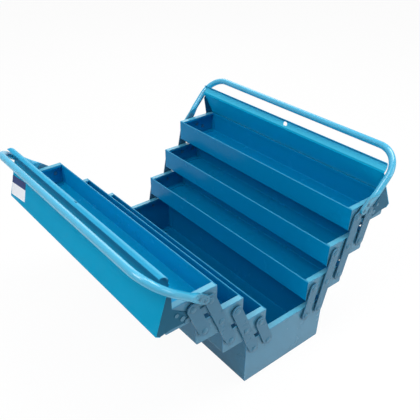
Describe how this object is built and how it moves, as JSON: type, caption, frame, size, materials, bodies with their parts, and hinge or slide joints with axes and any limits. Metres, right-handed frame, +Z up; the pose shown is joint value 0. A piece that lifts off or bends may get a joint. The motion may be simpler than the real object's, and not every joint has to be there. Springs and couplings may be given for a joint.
{
  "type": "cantilever tool box",
  "caption": "Sheet-steel cantilever tool box whose trays fold out to both sides on riveted levers, with half lids and bent tube handles.",
  "frame": {"origin": "the middle of the base's flat underside", "axes": "+Z up, +Y along the box, +X across it; the banks of trays open towards -X and +X"},
  "size_m": [0.56, 0.542, 0.3691],
  "materials": {
    "shell_paint": "gloss",
    "end_paint": "gloss",
    "lever_paint": "gloss",
    "handle_paint": "gloss",
    "lid_paint": "gloss",
    "rivet_paint": "gloss"
  },
  "bodies": {
    "base": {"base_shell": "shell_paint", "base_ends": "end_paint", "base_rivets": "rivet_paint"},
    "left_lever_a": {"left_lever_a": "lever_paint"},
    "left_lever_b": {"left_lever_b": "lever_paint"},
    "left_tray1": {"left_tray1_shell": "shell_paint", "left_tray1_ends": "end_paint", "left_tray1_rivets": "rivet_paint"},
    "left_tray2": {"left_tray2_shell": "shell_paint", "left_tray2_ends": "end_paint", "left_tray2_rivets": "rivet_paint"},
    "left_tray3": {"left_tray3_shell": "shell_paint", "left_tray3_ends": "end_paint", "left_tray3_rivets": "rivet_paint"},
    "left_lever_c": {"left_lever_c": "lever_paint", "left_handle": "handle_paint", "left_handle_rivets": "rivet_paint"},
    "left_lever_d": {"left_lever_d": "lever_paint"},
    "left_lid": {"left_lid_panel": "lid_paint", "left_lid_cheeks": "end_paint", "left_lid_pins": "rivet_paint"},
    "left_lid_links": {"left_lid_links": "lever_paint"},
    "right_lever_a": {"right_lever_a": "lever_paint"},
    "right_lever_b": {"right_lever_b": "lever_paint"},
    "right_tray1": {"right_tray1_shell": "shell_paint", "right_tray1_ends": "end_paint", "right_tray1_rivets": "rivet_paint"},
    "right_tray2": {"right_tray2_shell": "shell_paint", "right_tray2_ends": "end_paint", "right_tray2_rivets": "rivet_paint"},
    "right_tray3": {"right_tray3_shell": "shell_paint", "right_tray3_ends": "end_paint", "right_tray3_rivets": "rivet_paint"},
    "right_lever_c": {"right_lever_c": "lever_paint", "right_handle": "handle_paint", "right_handle_rivets": "rivet_paint"},
    "right_lever_d": {"right_lever_d": "lever_paint"},
    "right_lid": {"right_lid_panel": "lid_paint", "right_lid_cheeks": "end_paint", "right_lid_pins": "rivet_paint"},
    "right_lid_links": {"right_lid_links": "lever_paint"}
  },
  "joints": [
    {"name": "left_bank_fold", "type": "hinge", "parent": "base", "child": "left_lever_a", "pos_m": [-0.085, 0, 0.083], "axis": [0, 1, 0], "range_deg": [0, 55.8]},
    {"name": "left_lever_b_turn", "type": "hinge", "parent": "base", "child": "left_lever_b", "pos_m": [-0.051, 0, 0.083], "axis": [0, 1, 0], "range_deg": [0, 55.8]},
    {"name": "left_tray1_level", "type": "hinge", "parent": "left_lever_a", "child": "left_tray1", "pos_m": [-0.10785, 0, 0.13956], "axis": [0, 1, 0], "range_deg": [-55.8, 0]},
    {"name": "left_lever_c_turn", "type": "hinge", "parent": "left_tray1", "child": "left_lever_c", "pos_m": [-0.14185, 0, 0.13956], "axis": [0, 1, 0], "range_deg": [0, 55.8]},
    {"name": "left_tray2_level", "type": "hinge", "parent": "left_lever_a", "child": "left_tray2", "pos_m": [-0.1307, 0, 0.19612], "axis": [0, 1, 0], "range_deg": [-55.8, 0]},
    {"name": "left_lever_d_turn", "type": "hinge", "parent": "left_tray2", "child": "left_lever_d", "pos_m": [-0.1987, 0, 0.19612], "axis": [0, 1, 0], "range_deg": [0, 55.8]},
    {"name": "left_tray3_level", "type": "hinge", "parent": "left_lever_c", "child": "left_tray3", "pos_m": [-0.18755, 0, 0.25267], "axis": [0, 1, 0], "range_deg": [-55.8, 0]},
    {"name": "left_lid_turn", "type": "hinge", "parent": "left_tray3", "child": "left_lid", "pos_m": [-0.23905, 0, 0.24368], "axis": [0, 1, 0], "range_deg": [0, 55.8]},
    {"name": "left_lid_link_level", "type": "hinge", "parent": "left_lever_c", "child": "left_lid_links", "pos_m": [-0.18014, 0, 0.24455], "axis": [0, 1, 0], "range_deg": [-55.8, 0]},
    {"name": "right_bank_fold", "type": "hinge", "parent": "base", "child": "right_lever_a", "pos_m": [0.085, 0, 0.083], "axis": [0, -1, 0], "range_deg": [-10, 45.8]},
    {"name": "right_lever_b_turn", "type": "hinge", "parent": "base", "child": "right_lever_b", "pos_m": [0.051, 0, 0.083], "axis": [0, -1, 0], "range_deg": [-10, 45.8]},
    {"name": "right_tray1_level", "type": "hinge", "parent": "right_lever_a", "child": "right_tray1", "pos_m": [0.09768, 0, 0.14267], "axis": [0, -1, 0], "range_deg": [-45.8, 10]},
    {"name": "right_lever_c_turn", "type": "hinge", "parent": "right_tray1", "child": "right_lever_c", "pos_m": [0.13168, 0, 0.14267], "axis": [0, -1, 0], "range_deg": [-10, 45.8]},
    {"name": "right_tray2_level", "type": "hinge", "parent": "right_lever_a", "child": "right_tray2", "pos_m": [0.11037, 0, 0.20233], "axis": [0, -1, 0], "range_deg": [-45.8, 10]},
    {"name": "right_lever_d_turn", "type": "hinge", "parent": "right_tray2", "child": "right_lever_d", "pos_m": [0.17836, 0, 0.20233], "axis": [0, -1, 0], "range_deg": [-10, 45.8]},
    {"name": "right_tray3_level", "type": "hinge", "parent": "right_lever_c", "child": "right_tray3", "pos_m": [0.15705, 0, 0.262], "axis": [0, -1, 0], "range_deg": [-45.8, 10]},
    {"name": "right_lid_turn", "type": "hinge", "parent": "right_tray3", "child": "right_lid", "pos_m": [0.20855, 0, 0.253], "axis": [0, -1, 0], "range_deg": [-10, 45.8]},
    {"name": "right_lid_link_level", "type": "hinge", "parent": "right_lever_c", "child": "right_lid_links", "pos_m": [0.15116, 0, 0.25271], "axis": [0, -1, 0], "range_deg": [-45.8, 10]}
  ],
  "couplings": [
    {"joint": "left_lever_b_turn", "follows": "left_bank_fold", "ratio": 1},
    {"joint": "left_tray1_level", "follows": "left_bank_fold", "ratio": -1},
    {"joint": "left_lever_c_turn", "follows": "left_bank_fold", "ratio": 1},
    {"joint": "left_tray2_level", "follows": "left_bank_fold", "ratio": -1},
    {"joint": "left_lever_d_turn", "follows": "left_bank_fold", "ratio": 1},
    {"joint": "left_tray3_level", "follows": "left_bank_fold", "ratio": -1},
    {"joint": "left_lid_turn", "follows": "left_bank_fold", "ratio": 1},
    {"joint": "left_lid_link_level", "follows": "left_bank_fold", "ratio": -1},
    {"joint": "right_lever_b_turn", "follows": "right_bank_fold", "ratio": 1},
    {"joint": "right_tray1_level", "follows": "right_bank_fold", "ratio": -1},
    {"joint": "right_lever_c_turn", "follows": "right_bank_fold", "ratio": 1},
    {"joint": "right_tray2_level", "follows": "right_bank_fold", "ratio": -1},
    {"joint": "right_lever_d_turn", "follows": "right_bank_fold", "ratio": 1},
    {"joint": "right_tray3_level", "follows": "right_bank_fold", "ratio": -1},
    {"joint": "right_lid_turn", "follows": "right_bank_fold", "ratio": 1},
    {"joint": "right_lid_link_level", "follows": "right_bank_fold", "ratio": -1}
  ]
}
